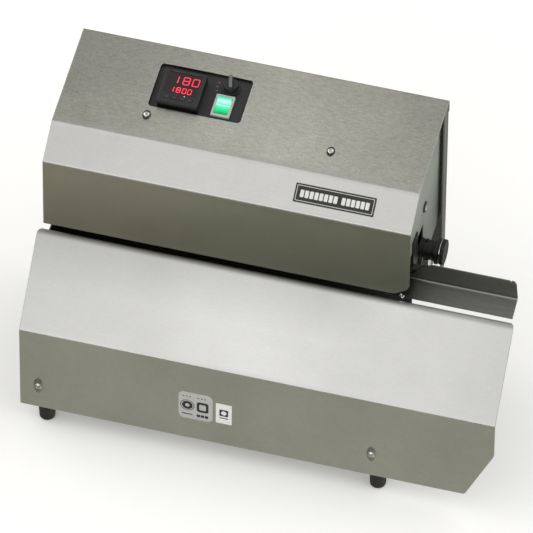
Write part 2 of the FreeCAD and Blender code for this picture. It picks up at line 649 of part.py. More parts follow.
def tension_knob():
    """Fluted knob on the outer end of the spindle."""
    x0 = 452.1
    knob = rod(15.0, (x0, SPINDLE_Y, SPINDLE_Z), (1, 0, 0), 4.6)
    rim = [e for e in knob.Edges if e.BoundBox.XMin > x0 + 4.5]
    knob = knob.makeFillet(1.2, rim)
    for i in range(12):
        a = math.radians(30 * i + 15)
        flute = rod(1.7, (x0 - 1, SPINDLE_Y + 15.7 * math.cos(a), SPINDLE_Z + 15.7 * math.sin(a)),
                    (1, 0, 0), 12)
        knob = knob.cut(flute)
    return knob.cut(rod(4.0 + FIT, (x0 - 1, SPINDLE_Y, SPINDLE_Z), (1, 0, 0), 4.2))


# --- transport unit ----------------------------------------------------------------------------

def belt(zc):
    """Endless flat belt round its drive and idler pulleys."""
    loops = []
    for r in (BELT_R, BELT_R - BELT_T):
        run = box(DRIVE_X, IDLER_X, BELT_Y0, BELT_Y1, zc - r, zc + r)
        for x in (DRIVE_X, IDLER_X):
            run = run.fuse(rod(r, (x, BELT_Y0, zc), (0, 1, 0), BELT_Y1 - BELT_Y0))
        loops.append(run.removeSplitter())
    return loops[0].cut(loops[1])


def pulley(x, zc, r, bore):
    """Flat pulley with a raised hub and four lightening holes."""
    y0, y1 = BELT_Y0 + 0.5, BELT_Y1 - 0.5
    body = rod(r, (x, y0, zc), (0, 1, 0), y1 - y0)
    if r > 15:
        body = body.cut(tube(r - 3.5, 8.5, (x, y0 - 1, zc), (0, 1, 0), 3.5))
        for i in range(4):
            a = math.radians(90 * i + 45)
            hole = rod(2.6, (x + 12 * math.cos(a), y0 - 2, zc + 12 * math.sin(a)), (0, 1, 0), 20)
            body = body.cut(hole)
    return body.cut(rod(bore, (x, y0 - 2, zc), (0, 1, 0), 20))


def drive_shaft(zc):
    shaft = rod(SHAFT_R, (DRIVE_X, 40.0, zc), (0, 1, 0), 37.5)
    return shaft


def shaft_bushes():
    """Flanged plain bushes of the two drive shafts."""
    out = []
    for z in axis_points():
        bush = rod(6.0, (DRIVE_X, PLATE_Y0, z), (0, 1, 0), 5.0)
        bush = bush.fuse(rod(9.0, (DRIVE_X, PLATE_Y0 - 2.0, z), (0, 1, 0), 2.0))
        out.append(bush.cut(rod(SHAFT_R + FIT, (DRIVE_X, 50, z), (0, 1, 0), 30)).removeSplitter())
    return Part.makeCompound(out)


def roller_axles():
    """Fixed axles of the idler pulleys and of the press rollers."""
    out = []
    for z in axis_points():
        axle = rod(SHAFT_R, (IDLER_X, 41.5, z), (0, 1, 0), 18.5)
        axle = axle.fuse(rod(6.5, (IDLER_X, 40.0, z), (0, 1, 0), 1.9))
        axle = axle.fuse(rod(3.0, (IDLER_X, 60.0, z), (0, 1, 0), 6.0))
        out.append(axle.removeSplitter())
    for up in (True, False):
        z = press_z(up)
        axle = rod(3.0, (PRESS_X, 41.5, z), (0, 1, 0), 18.5)
        axle = axle.fuse(rod(5.0, (PRESS_X, 40.0, z), (0, 1, 0), 1.9))
        axle = axle.fuse(rod(2.5, (PRESS_X, 60.0, z), (0, 1, 0), 6.0))
        out.append(axle.removeSplitter())
    return Part.makeCompound(out)


def block_heights():
    """Height ranges of the blocks inside the upper and lower belt loops."""
    zu, zl = axis_points()
    inner = BELT_R - BELT_T
    low = zu - inner + RUN_GAP
    high = zl + inner - RUN_GAP
    return (low, low + 22), (high - 22, high)


def stud_points():
    out = []
    for z0, z1 in block_heights():
        for x in (125, 195, 250, 305):
            out.append((x, (z0 + z1) / 2))
    return out


def heater_blocks():
    """Upper and lower heating bars with a bore for the cartridge."""
    out = []
    for z0, z1 in block_heights():
        bar = box(110, 210, 43, 51, z0, z1)
        z = z0 + 6 if z0 > Z_FILM else z1 - 6
        bar = bar.cut(rod(2.6, (105, 47, z), (1, 0, 0), 110))
        out.append(bar)
    return Part.makeCompound(out)


def heater_cartridges():
    out = []
    for z0, z1 in block_heights():
        z = z0 + 6 if z0 > Z_FILM else z1 - 6
        out.append(rod(2.5, (104, 47, z), (1, 0, 0), 102))
    return Part.makeCompound(out)


def cooling_blocks():
    """Finned bars that cool the fresh seam."""
    out = []
    for z0, z1 in block_heights():
        bar = box(236, 320, 43, 51, z0, z1)
        for i in range(9):
            x = 241 + i * 8.5
            if z0 > Z_FILM:
                bar = bar.cut(box(x, x + 3, 40, 48, z0 + 6, z1 + 1))
            else:
                bar = bar.cut(box(x, x + 3, 40, 48, z0 - 1, z1 - 6))
        out.append(bar)
    return Part.makeCompound(out)


def block_studs():
    return Part.makeCompound([rod(3.0, (x, 51, z), (0, 1, 0), 15) for x, z in stud_points()])


def pinion_centre():
    zu, zl = axis_points()
    a = MODULE * (DRIVE_TEETH + PINION_TEETH) / 2
    return DRIVE_X + a * math.cos(PINION_ANGLE), zl + a * math.sin(PINION_ANGLE)


def gear_phases():
    """Tooth phases that put all three gears in mesh at rest."""
    lower = math.pi / 2 + math.pi / DRIVE_TEETH
    upper = -math.pi / 2
    step = 2 * math.pi / DRIVE_TEETH
    delta = ((PINION_ANGLE - lower) / step) % 1.0
    pinion = PINION_ANGLE + math.pi + (delta + 0.5) * 2 * math.pi / PINION_TEETH
    return upper, lower, pinion


def drive_gear(upper):
    zu, zl = axis_points()
    phase = gear_phases()[0 if upper else 1]
    z = zu if upper else zl
    wheel = gear(DRIVE_X, z, DRIVE_TEETH, GEAR_Y0, GEAR_W, SHAFT_R, phase)
    for i in range(5):
        a = math.radians(72 * i)
        wheel = wheel.cut(rod(3.4, (DRIVE_X + 12 * math.cos(a), 60, z + 12 * math.sin(a)), (0, 1, 0), 30))
    return wheel


def motor_pinion():
    x, z = pinion_centre()
    return gear(x, z, PINION_TEETH, GEAR_Y0, GEAR_W, 3.0 + FIT, gear_phases()[2])


def gearmotor():
    """Gearmotor: gearbox, motor can, end cap and output shaft."""
    x, z = pinion_centre()
    box_part = rod(26.0, (x, 83.0, z), (0, 1, 0), 24)
    can = rod(22.0, (x, 107.0, z), (0, 1, 0), 42)
    cap = rod(18.0, (x, 149.0, z), (0, 1, 0), 5)
    shaft = rod(3.0, (x, 67.0, z), (0, 1, 0), 16)
    return box_part.fuse(can).fuse(cap).fuse(shaft).removeSplitter()


def motor_bracket():
    """Angle bracket that holds the gearmotor behind the mechanism plate."""
    x, z = pinion_centre()
    path = [(x - 30, 80), (x + 52, 80), (x + 52, PLATE_Y1), (x + 66, PLATE_Y1), (x + 66, PLATE_Y1 + 3),
            (x + 55, PLATE_Y1 + 3), (x + 55, 83), (x - 30, 83)]
    bracket = prism_z(path, z - 30, z + 28)
    return bracket.cut(rod(6.0, (x, 70, z), (0, 1, 0), 20))


def control_board():
    """Circuit board on standoffs with its transformer, capacitors, relay and terminals."""
    board = box(190, 310, 80, 150, 40.0, 41.6)
    solids = [board]
    for x in (194, 306):
        for y in (84, 146):
            solids.append(rod(2.5, (x, y, 29.5), (0, 0, 1), 10.5))
    solids.append(box(200, 242, 100, 140, 41.6, 76))
    solids.append(box(204, 238, 92, 100, 46, 72))
    for i in range(3):
        solids.append(rod(6.0, (256 + 16 * i, 96, 41.6), (0, 0, 1), 20))
    solids.append(box(252, 272, 112, 128, 41.6, 57))
    solids.append(box(282, 302, 110, 144, 41.6, 52))
    return Part.makeCompound(solids)


def power_inlet():
    """Rear mains inlet with three blades in a recessed socket."""
    yp = 163.0 + SHEET
    flange = prism_y([(302.5, 76.5), (352.5, 76.5), (352.5, 100), (302.5, 100)], yp, yp + 2.5, [4] * 4)
    body = box(314, 341, 142, yp, 78.5, 98)
    inlet = flange.fuse(body).removeSplitter()
    well = prism_y([(315.5, 80), (339.5, 80), (339.5, 92), (334.5, 96.5), (320.5, 96.5), (315.5, 92)],
                   yp - 15, yp + 4)
    inlet = inlet.cut(well)
    for x, z in ((320.5, 86), (327.5, 90), (334.5, 86)):
        inlet = inlet.fuse(box(x - 1, x + 1, yp - 16, yp - 1, z - 2, z + 2))
    return inlet.removeSplitter()


def build():
    zu, zl = axis_points()
    nodes = {
        "base_cover": base_cover(),
        "base_tray": base_tray(),
        "base_side_left": base_side(END_GAP, False),
        "base_side_right": base_side(BOX_X1 - SHEET, True),
        "base_back": base_back(),
        "rubber_feet": rubber_feet(),
        "foot_screws": foot_screws(),
        "base_front_screws": base_front_screws(),
        "back_screws": back_screws(),
        "mechanism_plate": mechanism_plate(),
        "mechanism_legs": mechanism_legs(),
        "hood_cover": hood_cover(),
        "hood_side_left": hood_side(END_GAP, False),
        "hood_side_right": hood_side(HOOD_L - END_GAP - SHEET, True),
        "hood_back": hood_back(),
        "hood_brackets": hood_brackets(),
        "hood_screws": hood_screws(),
        "name_plate": name_plate(),
        "silver_sticker": front_sticker(184.9, 225.6, 59.5, 102.0, 7.0),
        "white_sticker": front_sticker(229.3, 248.3, 62.0, 93.5, 0.8),
        "control_plate": control_plate(),
        "controller_case": controller_case(),
        "controller_window": controller_window(),
        "rocker_bezel": rocker_bezel(),
        "rocker_button": rocker_button(),
        "speed_pot": speed_pot(),
        "speed_knob": speed_knob(),
        "infeed_guide": infeed_guide(),
        "guide_hanger": guide_hanger(),
        "tension_spindle": tension_spindle(),
        "spindle_bush": spindle_bush(),
        "spindle_bracket": spindle_bracket(),
        "tension_knob": tension_knob(),
        "belt_upper": belt(zu),
        "belt_lower": belt(zl),
        "drive_pulley_upper": pulley(DRIVE_X, zu, PULLEY_R, SHAFT_R),
        "drive_pulley_lower": pulley(DRIVE_X, zl, PULLEY_R, SHAFT_R),
        "drive_shaft_upper": drive_shaft(zu),
        "drive_shaft_lower": drive_shaft(zl),
        "drive_gear_upper": drive_gear(True),
        "drive_gear_lower": drive_gear(False),
        "idler_pulley_upper": pulley(IDLER_X, zu, PULLEY_R, SHAFT_R + FIT),
        "idler_pulley_lower": pulley(IDLER_X, zl, PULLEY_R, SHAFT_R + FIT),
        "press_roller_upper": pulley(PRESS_X, press_z(True), PRESS_R, 3.0 + FIT),
        "press_roller_lower": pulley(PRESS_X, press_z(False), PRESS_R, 3.0 + FIT),
        "roller_axles": roller_axles(),
        "shaft_bushes": shaft_bushes(),
        "heater_blocks": heater_blocks(),
        "heater_cartridges": heater_cartridges(),
        "cooling_blocks": cooling_blocks(),
        "block_studs": block_studs(),
        "gearmotor": gearmotor(),
        "motor_bracket": motor_bracket(),
        "motor_pinion": motor_pinion(),
        "control_board": control_board(),
        "power_inlet": power_inlet(),
    }
    for i in range(4):
        nodes["controller_key_%d" % (i + 1)] = controller_key(i)
    return nodes


os.makedirs("parts", exist_ok=True)
for name, shape in build().items():
    shape.translate(V(-X_MID, -Y_MID, 0))
    shape.exportStep("parts/%s.step" % name)
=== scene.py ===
import json
import math
import bpy
import bmesh
from mathutils import Matrix, Vector


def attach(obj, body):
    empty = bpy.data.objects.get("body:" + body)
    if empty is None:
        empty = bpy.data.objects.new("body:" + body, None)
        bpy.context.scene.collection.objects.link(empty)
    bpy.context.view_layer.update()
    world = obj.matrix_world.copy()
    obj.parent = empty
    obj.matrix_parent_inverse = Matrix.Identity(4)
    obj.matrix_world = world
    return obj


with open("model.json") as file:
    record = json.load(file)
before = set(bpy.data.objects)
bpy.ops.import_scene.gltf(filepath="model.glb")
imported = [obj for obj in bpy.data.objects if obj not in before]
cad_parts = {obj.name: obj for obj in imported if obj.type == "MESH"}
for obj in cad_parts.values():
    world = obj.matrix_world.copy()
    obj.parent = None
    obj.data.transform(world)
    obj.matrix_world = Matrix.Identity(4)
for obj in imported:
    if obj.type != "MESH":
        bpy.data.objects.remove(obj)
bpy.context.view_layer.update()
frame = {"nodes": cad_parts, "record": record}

# ------------------------------------------------------------------ machine coordinates (mm) to the frame (m)
X_MID, Y_MID = 276.5, 42.25
Z_FACET, Z_ROOF = 339.5, 369.5
ROOF_A = math.atan2(396.0 - Z_ROOF, 168.5 - 38.0)
FACET_A = math.atan2(Z_ROOF - Z_FACET, 38.0)


def mm(x, y, z):
    return Vector(((x - X_MID) / 1000, (y - Y_MID) / 1000, z / 1000))


def roof(x, s, h=0.0):
    c, k = math.cos(ROOF_A), math.sin(ROOF_A)
    return mm(x, 38 + s * c - h * k, Z_ROOF + s * k + h * c)


def facet(x, s, h=0.0):
    c, k = math.cos(FACET_A), math.sin(FACET_A)
    return mm(x, s * c - h * k, Z_FACET + s * k + h * c)


def front(x, z, h=0.0):
    return mm(x, -84 - h, z)


# ------------------------------------------------------------------ shader helpers
def new_material(name):
    mat = bpy.data.materials.new(name)
    mat.use_nodes = True
    tree = mat.node_tree
    tree.nodes.clear()
    out = tree.nodes.new("ShaderNodeOutputMaterial")
    bsdf = tree.nodes.new("ShaderNodeBsdfPrincipled")
    tree.links.new(bsdf.outputs[0], out.inputs[0])
    return mat, tree, bsdf


def coords(tree, scale):
    tc = tree.nodes.new("ShaderNodeTexCoord")
    mp = tree.nodes.new("ShaderNodeMapping")
    mp.inputs["Scale"].default_value = scale
    tree.links.new(tc.outputs["Object"], mp.inputs["Vector"])
    return mp.outputs["Vector"]


def noise(tree, vec, scale, detail=3.0, rough=0.55, distortion=0.0):
    n = tree.nodes.new("ShaderNodeTexNoise")
    n.inputs["Scale"].default_value = scale
    n.inputs["Detail"].default_value = detail
    n.inputs["Roughness"].default_value = rough
    n.inputs["Distortion"].default_value = distortion
    tree.links.new(vec, n.inputs["Vector"])
    return n.outputs["Fac"]


def ramp(tree, fac, stops):
    r = tree.nodes.new("ShaderNodeValToRGB")
    els = r.color_ramp.elements
    els[0].position, els[0].color = stops[0][0], (*stops[0][1], 1)
    els[1].position, els[1].color = stops[-1][0], (*stops[-1][1], 1)
    for pos, col in stops[1:-1]:
        e = els.new(pos)
        e.color = (*col, 1)
    tree.links.new(fac, r.inputs["Fac"])
    return r.outputs["Color"]


def remap(tree, fac, lo, hi, a=0.0, b=1.0):
    m = tree.nodes.new("ShaderNodeMapRange")
    m.inputs["From Min"].default_value = a
    m.inputs["From Max"].default_value = b
    m.inputs["To Min"].default_value = lo
    m.inputs["To Max"].default_value = hi
    tree.links.new(fac, m.inputs["Value"])
    return m.outputs["Result"]


def mathn(tree, op, a, b):
    m = tree.nodes.new("ShaderNodeMath")
    m.operation = op
    for i, v in enumerate((a, b)):
        if isinstance(v, (int, float)):
            m.inputs[i].default_value = v
        else:
            tree.links.new(v, m.inputs[i])
    return m.outputs[0]


def bump(tree, bsdf, fac, strength, distance=0.0004, edge=0.0):
    b = tree.nodes.new("ShaderNodeBump")
    b.inputs["Strength"].default_value = strength
    b.inputs["Distance"].default_value = distance
    tree.links.new(fac, b.inputs["Height"])
    if edge:
        bev = tree.nodes.new("ShaderNodeBevel")
        bev.samples = 4
        bev.inputs["Radius"].default_value = edge
        tree.links.new(bev.outputs["Normal"], b.inputs["Normal"])
    tree.links.new(b.outputs["Normal"], bsdf.inputs["Normal"])


def scaled(c, k):
    return tuple(min(1.0, v * k) for v in c)


def steel(name, base, rough=0.34, streak=0.05, grain=0.09, along=(60.0, 900.0, 900.0), edge=0.0006,
          aniso=0.5, bump_strength=0.05, tone=None, tint=None, strength=None, metallic=1.0):
    """Brushed sheet steel: long fine streaks, short speckle, faint cloudy handling marks."""
    mat, tree, bsdf = new_material(name)
    long_streaks = noise(tree, coords(tree, along), 1.0, 4.0, 0.6)
    speckle = noise(tree, coords(tree, (along[0] * 6, along[1] * 0.8, along[2] * 0.8)), 1.0, 3.0, 0.6)
    clouds = noise(tree, coords(tree, (1, 1, 1)), 9.0, 4.0, 0.6, 0.4)
    mix = mathn(tree, "ADD", mathn(tree, "MULTIPLY", long_streaks, 0.5),
                mathn(tree, "MULTIPLY", speckle, 0.5))
    if strength:
        centred = mathn(tree, "SUBTRACT", mix, 0.5)
        mix = mathn(tree, "ADD", 0.5, mathn(tree, "MULTIPLY", centred, strength(tree)))
    lo, hi = 1 - streak - grain, 1 + streak + grain
    col = ramp(tree, mix, [(0.30, scaled(base, lo)), (0.50, base), (0.70, scaled(base, hi))])
    hsv = tree.nodes.new("ShaderNodeHueSaturation")
    tree.links.new(col, hsv.inputs["Color"])
    value = remap(tree, clouds, 0.93, 1.06, 0.3, 0.7)
    if tone:
        value = mathn(tree, "MULTIPLY", value, tone(tree))
    tree.links.new(value, hsv.inputs["Value"])
    final = hsv.outputs["Color"]
    if tint:
        mul = tree.nodes.new("ShaderNodeVectorMath")
        mul.operation = "MULTIPLY"
        tree.links.new(final, mul.inputs[0])
        tree.links.new(tint(tree), mul.inputs[1])
        final = mul.outputs["Vector"]
    tree.links.new(final, bsdf.inputs["Base Color"])
    bsdf.inputs["Metallic"].default_value = metallic
    r = mathn(tree, "ADD", remap(tree, mix, rough - 0.05, rough + 0.07, 0.3, 0.7),
              remap(tree, clouds, -0.02, 0.03, 0.3, 0.7))
    tree.links.new(r, bsdf.inputs["Roughness"])
    bsdf.inputs["Anisotropic"].default_value = aniso
    tan = tree.nodes.new("ShaderNodeTangent")
    tan.direction_type = "RADIAL"
    tan.axis = "X"
    tree.links.new(tan.outputs[0], bsdf.inputs["Tangent"])
    bump(tree, bsdf, mix, bump_strength, 0.0002, edge)
    return mat


def plain(name, base, rough=0.5, metallic=0.0, spread=0.12, scale=180.0, grain=0.15, coat=0.0, edge=0.0003,
          rough_spread=0.08, tone=None):
    """Moulded, painted or machined surface with a fine uneven texture and slight colour drift."""
    mat, tree, bsdf = new_material(name)
    fine = noise(tree, coords(tree, (1, 1, 1)), scale * 8, 3.0, 0.6)
    broad = noise(tree, coords(tree, (1, 1, 1)), scale / 6, 3.0, 0.5)
    both = mathn(tree, "ADD", mathn(tree, "MULTIPLY", fine, 0.4), mathn(tree, "MULTIPLY", broad, 0.6))
    col = ramp(tree, both, [(0.3, scaled(base, 1 - spread)), (0.5, base), (0.7, scaled(base, 1 + spread))])
    if tone:
        mul = tree.nodes.new("ShaderNodeVectorMath")
        mul.operation = "SCALE"
        tree.links.new(col, mul.inputs[0])
        tree.links.new(tone(tree), mul.inputs["Scale"])
        col = mul.outputs["Vector"]
    tree.links.new(col, bsdf.inputs["Base Color"])
    bsdf.inputs["Metallic"].default_value = metallic
    tree.links.new(remap(tree, both, rough - rough_spread, rough + rough_spread, 0.3, 0.7),
                   bsdf.inputs["Roughness"])
    bsdf.inputs["Coat Weight"].default_value = coat
    bump(tree, bsdf, fine, grain, 0.0001, edge)
    return mat


def glowing(name, low, high, strength, scale=60.0, rough=0.3):
    """Lit plastic: emission drifts a little across the face."""
    mat, tree, bsdf = new_material(name)
    n = noise(tree, coords(tree, (1, 1, 1)), scale, 2.0, 0.5)
    col = ramp(tree, n, [(0.3, low), (0.7, high)])
    tree.links.new(col, bsdf.inputs["Base Color"])
    tree.links.new(col, bsdf.inputs["Emission Color"])
    bsdf.inputs["Emission Strength"].default_value = strength
    bsdf.inputs["Roughness"].default_value = rough
    return mat


def rocker_material():
    """Translucent green rocker lit from behind its rear half, with a painted highlight along its crest."""
    mat, tree, bsdf = new_material("rocker_lit")
    c = roof(184, 65, -1)
    tc = tree.nodes.new("ShaderNodeTexCoord")
    sep = tree.nodes.new("ShaderNodeSeparateXYZ")
    tree.links.new(tc.outputs["Object"], sep.inputs[0])
    up = remap(tree, sep.outputs["Y"], 0.0, 1.0, c.y - 0.011, c.y + 0.011)
    n = noise(tree, coords(tree, (1, 1, 1)), 160.0, 2.0, 0.5)
    mixed = mathn(tree, "ADD", up, remap(tree, n, -0.03, 0.03, 0.3, 0.7))
    # painted highlight: the near-white stop at 0.505 is a bright line along the crest; the other stops are
    # the rocker's lit glow
    col = ramp(tree, mixed, [(0.02, (0.0, 0.16, 0.05)), (0.16, (0.0, 0.40, 0.13)), (0.36, (0.01, 0.62, 0.24)),
                             (0.47, (0.12, 0.85, 0.42)), (0.505, (0.80, 1.0, 0.90)),
                             (0.54, (0.03, 0.55, 0.24)),
                             (0.62, (0.20, 0.90, 0.50)), (0.76, (0.42, 1.0, 0.68)),
                             (0.88, (0.07, 0.70, 0.35)),
                             (1.0, (0.02, 0.40, 0.18))])
    tree.links.new(col, bsdf.inputs["Base Color"])
    tree.links.new(col, bsdf.inputs["Emission Color"])
    bsdf.inputs["Emission Strength"].default_value = 0.62
    bsdf.inputs["Roughness"].default_value = 0.22
    bump(tree, bsdf, n, 0.05, 0.0001, 0.0004)
    return mat


def place_of(tree):
    tc = tree.nodes.new("ShaderNodeTexCoord")
    sep = tree.nodes.new("ShaderNodeSeparateXYZ")
    tree.links.new(tc.outputs["Object"], sep.inputs[0])
    return sep.outputs


def hill(tree, value, centre, width):
    """Smooth bump of height 1 about a centre."""
    u = mathn(tree, "DIVIDE", mathn(tree, "SUBTRACT", value, centre), width)
    low = mathn(tree, "ADD", 1.0, mathn(tree, "MULTIPLY", u, u))
    return mathn(tree, "DIVIDE", 1.0, mathn(tree, "MULTIPLY", low, low))


def mixed(tree, base, tone, mask):
    """base where the mask is 0 and tone where it is 1."""
    return mathn(tree, "ADD", mathn(tree, "MULTIPLY", base, mathn(tree, "SUBTRACT", 1.0, mask)),
                 mathn(tree, "MULTIPLY", tone, mask))


def cover_masks(tree, p):
    """Hood front, base front, slope and top panel of the two folded covers, by height."""
    above = remap(tree, p["Z"], 0.0, 1.0, 0.3368, 0.3384)
    hood = mathn(tree, "MULTIPLY", remap(tree, p["Z"], 0.0, 1.0, 0.2395, 0.2400),
                 mathn(tree, "SUBTRACT", 1.0, above))
    base = remap(tree, p["Z"], 1.0, 0.0, 0.1462, 0.1484)
    slope = mathn(tree, "MULTIPLY", remap(tree, p["Z"], 0.0, 1.0, 0.1470, 0.1520),
                  remap(tree, p["Z"], 1.0, 0.0, 0.2385, 0.2390))
    top = remap(tree, p["Z"], 0.0, 1.0, 0.3685, 0.3715)
    facets = mathn(tree, "MULTIPLY", remap(tree, p["Z"], 0.0, 1.0, 0.3384, 0.3420),
                   remap(tree, p["Z"], 1.0, 0.0, 0.3665, 0.3685))
    return hood, base, slope, top, facets


def cover_painted_light(tree):
    """Broad differences between the faces, painted light and shade: the hood front darker, more so to the
    right and towards its lower edge; the base front lighter; painted highlights across the middle of the
    slope and the top panel, darker towards their ends; the slope also darker towards the slot except at the
    infeed end; the facets lighter to the right; the top panel dimmer towards the rear.
    """
    p = place_of(tree)
    hood, base, slope, top, facets = cover_masks(tree, p)
    along = remap(tree, p["X"], 1.22, 0.76, -0.2765, 0.16)
    down = remap(tree, p["Z"], 0.69, 1.03, 0.2410, 0.325)
    hood_tone = mathn(tree, "MULTIPLY", mathn(tree, "MULTIPLY", along, down), 0.67)
    infeed = remap(tree, p["X"], 0.0, 1.0, 0.06, 0.15)
    slope_tone = mathn(tree, "ADD", 0.875, mathn(tree, "MULTIPLY", hill(tree, p["X"], -0.01, 0.19), 0.235))
    slope_tone = mathn(tree, "MULTIPLY", slope_tone,
                       mixed(tree, remap(tree, p["Z"], 1.03, 0.79, 0.1900, 0.2350), 1.09, infeed))
    top_tone = mathn(tree, "ADD", 0.72, mathn(tree, "MULTIPLY", hill(tree, p["X"], -0.03, 0.22), 0.43))
    top_tone = mathn(tree, "MULTIPLY", top_tone, remap(tree, p["Y"], 1.06, 0.90, 0.0, 0.125))
    value = mixed(tree, 1.0, hood_tone, hood)
    value = mixed(tree, value, 1.09, base)
    value = mixed(tree, value, slope_tone, slope)
    value = mixed(tree, value, remap(tree, p["X"], 0.96, 1.09, -0.22, 0.0), facets)
    return mixed(tree, value, top_tone, top)


def cover_painted_reflection_tint(tree):
    """Painted reflection colour: the upright faces a little more olive, the hood front redder towards its
    left end, the top panel a little warmer.
    """
    p = place_of(tree)
    hood, base, slope, top, facets = cover_masks(tree, p)
    comb = tree.nodes.new("ShaderNodeCombineXYZ")
    tree.links.new(mixed(tree, 1.0, remap(tree, p["X"], 1.015, 0.955, -0.20, 0.15), hood), comb.inputs[0])
    comb.inputs[1].default_value = 1.0
    blue = mixed(tree, 1.02, 0.82, hood)
    blue = mixed(tree, blue, 0.93, base)
    blue = mixed(tree, blue, 0.95, top)
    tree.links.new(blue, comb.inputs[2])
    return comb.outputs[0]


def cover_grain(tree):
    """The top panel shows its grain more than the other faces."""
    return remap(tree, place_of(tree)["Z"], 0.45, 1.6, 0.3680, 0.3715)


def side_painted_shade(tree):
    """Painted shade and light on the side plates: they darken towards their lower edge and are painted
    brighter behind the rear panel's folded end, offsetting their dark reflection there.
    """
    p = place_of(tree)
    return mathn(tree, "MULTIPLY", remap(tree, p["Z"], 0.62, 1.06, 0.238, 0.315),
                 remap(tree, p["Y"], 1.0, 1.5, 0.092, 0.108))


def flange_painted_light(tree):
    """Painted light on the rear panel: brighter inside the hood, where it lies in shade, and on the cut edge
    of its folded end.
    """
    p = place_of(tree)
    return mathn(tree, "MULTIPLY", remap(tree, p["X"], 2.4, 1.0, 0.1545, 0.1555),
                 remap(tree, p["Y"], 2.2, 1.0, 0.1079, 0.1088))


def guide_painted_light(tree):
    """Painted light: the infeed guide is brighter towards its free end."""
    return remap(tree, place_of(tree)["X"], 0.74, 1.22, 0.14, 0.275)


def face_painted_shade(tree):
    """Painted shade: the controller's sides are darkened, so its face is a little greyer than its sides."""
    p = place_of(tree)
    c, k = math.cos(ROOF_A), math.sin(ROOF_A)
    o = roof(0.0, 0.0)
    h = mathn(tree, "SUBTRACT", mathn(tree, "MULTIPLY", p["Z"], c), mathn(tree, "MULTIPLY", p["Y"], k))
    level = o.z * c - o.y * k
    return remap(tree, h, 0.25, 1.0, level + 0.0088, level + 0.0096)


STEEL = (0.56, 0.56, 0.545)
MATS = {
    # the cover steel's tone and tint are painted light, shade and reflection colour
    "cover_steel": steel("cover_steel", STEEL, 0.33, along=(130.0, 560.0, 560.0), edge=0.0011,
                         tone=cover_painted_light, tint=cover_painted_reflection_tint, strength=cover_grain),
    "panel_steel": steel("panel_steel", (0.32, 0.35, 0.31), 0.50, 0.04, 0.04, metallic=0.55, tone=side_painted_shade),
    "tray_steel": steel("tray_steel", (0.50, 0.50, 0.48), 0.42, along=(9.0, 9.0, 300.0)),
    "guide_steel": steel("guide_steel", (0.185, 0.19, 0.175), 0.30, along=(22.0, 600.0, 600.0),
                         tone=guide_painted_light),
    "screw_steel": steel("screw_steel", (0.68, 0.68, 0.65), 0.18, 0.04, 0.04, (60, 60, 60), 0.0003, 0.0,
                         0.04),
    "bright_steel": steel("bright_steel", (0.70, 0.70, 0.68), 0.22, 0.06, 0.05, (40, 400, 400), 0.0003, 0.2),
    "foot_rubber": plain("foot_rubber", (0.014, 0.014, 0.015), 0.62),
    "belt_ptfe": plain("belt_ptfe", (0.17, 0.115, 0.07), 0.55, spread=0.2, grain=0.5),
    "alu": plain("alu", (0.72, 0.73, 0.74), 0.35, 1.0, 0.06),
    "brass": plain("brass", (0.66, 0.47, 0.20), 0.35, 1.0, 0.10),
    "gear_plastic": plain("gear_plastic", (0.72, 0.69, 0.60), 0.45, spread=0.06),
    "motor_paint": plain("motor_paint", (0.03, 0.03, 0.034), 0.38),
    "black_plastic": plain("black_plastic", (0.019, 0.019, 0.0215), 0.42, grain=0.25),
    "black_paint": plain("black_paint", (0.012, 0.012, 0.012), 0.48),
    "display": plain("display", (0.010, 0.006, 0.007), 0.10, spread=0.2, grain=0.02, coat=0.3),
    "key_plastic": plain("key_plastic", (0.027, 0.027, 0.029), 0.5),
    "bezel_plastic": plain("bezel_plastic", (0.42, 0.50, 0.45), 0.30, spread=0.05, grain=0.05),
    "lit_green": rocker_material(),
    "label_black": plain("label_black", (0.012, 0.012, 0.012), 0.30, grain=0.05),
    "label_silver": plain("label_silver", (0.52, 0.52, 0.505), 0.42, 0.25, 0.06, grain=0.08),
    "label_white": plain("label_white", (0.76, 0.76, 0.73), 0.5, spread=0.04, grain=0.05),
    "board_green": plain("board_green", (0.02, 0.13, 0.05), 0.35, spread=0.2),
}
REAR_STEEL = steel("rear_panel_steel", (0.20, 0.205, 0.185), 0.45, 0.04, 0.04)
VARIANTS = {
    "hood_back": steel("flange_steel", (0.20, 0.205, 0.185), 0.45, 0.04, 0.04, tone=flange_painted_light),
    "base_side_left": REAR_STEEL,
    "base_side_right": REAR_STEEL,
    "base_back": REAR_STEEL,
    # painted shade: the mechanism plate is near black so that the hood's interior seen through the slot stays
    # dark
    "mechanism_plate": plain("frame_black_shade", (0.050, 0.050, 0.046), 0.5),
    "controller_case": plain("controller_black", (0.015, 0.015, 0.017), 0.40, grain=0.2, tone=face_painted_shade),
    "tension_knob": plain("knob_black", (0.006, 0.006, 0.006), 0.55, grain=0.2),
    "spindle_bush": plain("bush_black", (0.008, 0.008, 0.008), 0.5, grain=0.2),
}
# this dark material serves as print on the stickers and as painted shadow and reflection at the screws
INK_AND_SHADE = plain("ink_and_painted_shade", (0.02, 0.02, 0.022), 0.45, grain=0.05, edge=0.0)
PAINT_WHITE = plain("print_white", (0.72, 0.72, 0.70), 0.5, spread=0.05, grain=0.05, edge=0.0)
MID_GREY = plain("moulded_grey", (0.15, 0.15, 0.15), 0.4, spread=0.06, grain=0.1)
PRINT_GREY = plain("print_grey", (0.20, 0.20, 0.20), 0.5, spread=0.05, grain=0.05, edge=0.0)
PRINT_DIM = plain("print_dim", (0.06, 0.06, 0.06), 0.5, spread=0.05, grain=0.05, edge=0.0)
SILVER_LINE = steel("frame_silver", (0.62, 0.62, 0.60), 0.25, 0.05, 0.04, (60, 60, 60), 0.0, 0.0, 0.02)
